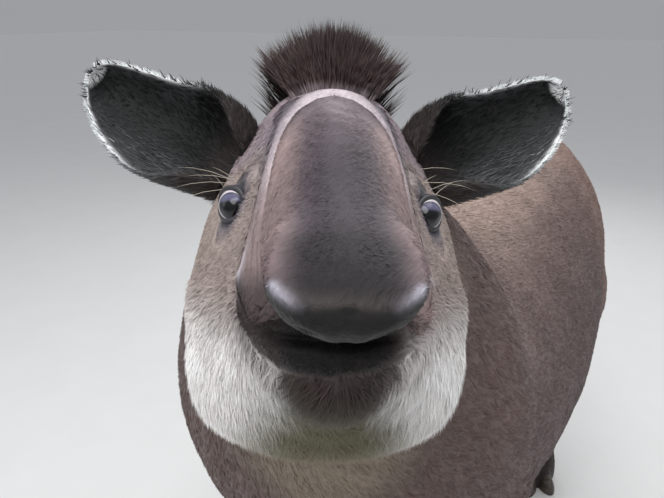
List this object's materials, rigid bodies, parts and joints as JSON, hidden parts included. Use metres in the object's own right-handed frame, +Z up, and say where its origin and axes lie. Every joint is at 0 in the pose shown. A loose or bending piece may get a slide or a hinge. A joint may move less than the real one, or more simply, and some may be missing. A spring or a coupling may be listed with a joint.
{
  "type": "lowland tapir",
  "caption": "Life-size still model of an adult lowland tapir, standing with its snout raised and its head turned to its left.",
  "frame": {"origin": "on the floor, under the middle of the animal's whole box", "axes": "+Y runs along the trunk from chest to tail, +X is the animal's left side, +Z is up"},
  "size_m": [0.594, 1.7874, 1.2736],
  "materials": {
    "hide": "short dark brown hair, lighter on the back, whitish on cheeks and throat",
    "snout_hide": "very short mauve-brown hair over skin",
    "ear_hide": "dark skin with a white hair edge",
    "leg_hide": "short dark brown hair",
    "hoof_horn": "worn dark horn",
    "eye": "wet and glossy, blue-grey iris"
  },
  "bodies": {
    "root": {"ear_left": "ear_hide", "ear_right": "ear_hide", "eye_left": "eye", "eye_right": "eye", "head": "hide", "hoof_front_left_inner": "hoof_horn", "hoof_front_left_little": "hoof_horn", "hoof_front_left_middle": "hoof_horn", "hoof_front_left_outer": "hoof_horn", "hoof_front_right_inner": "hoof_horn", "hoof_front_right_little": "hoof_horn", "hoof_front_right_middle": "hoof_horn", "hoof_front_right_outer": "hoof_horn", "hoof_hind_left_inner": "hoof_horn", "hoof_hind_left_middle": "hoof_horn", "hoof_hind_left_outer": "hoof_horn", "hoof_hind_right_inner": "hoof_horn", "hoof_hind_right_middle": "hoof_horn", "hoof_hind_right_outer": "hoof_horn", "leg_front_left": "leg_hide", "leg_front_right": "leg_hide", "leg_hind_left": "leg_hide", "leg_hind_right": "leg_hide", "neck": "hide", "snout": "snout_hide", "tail": "hide", "torso": "hide"}
  },
  "joints": []
}
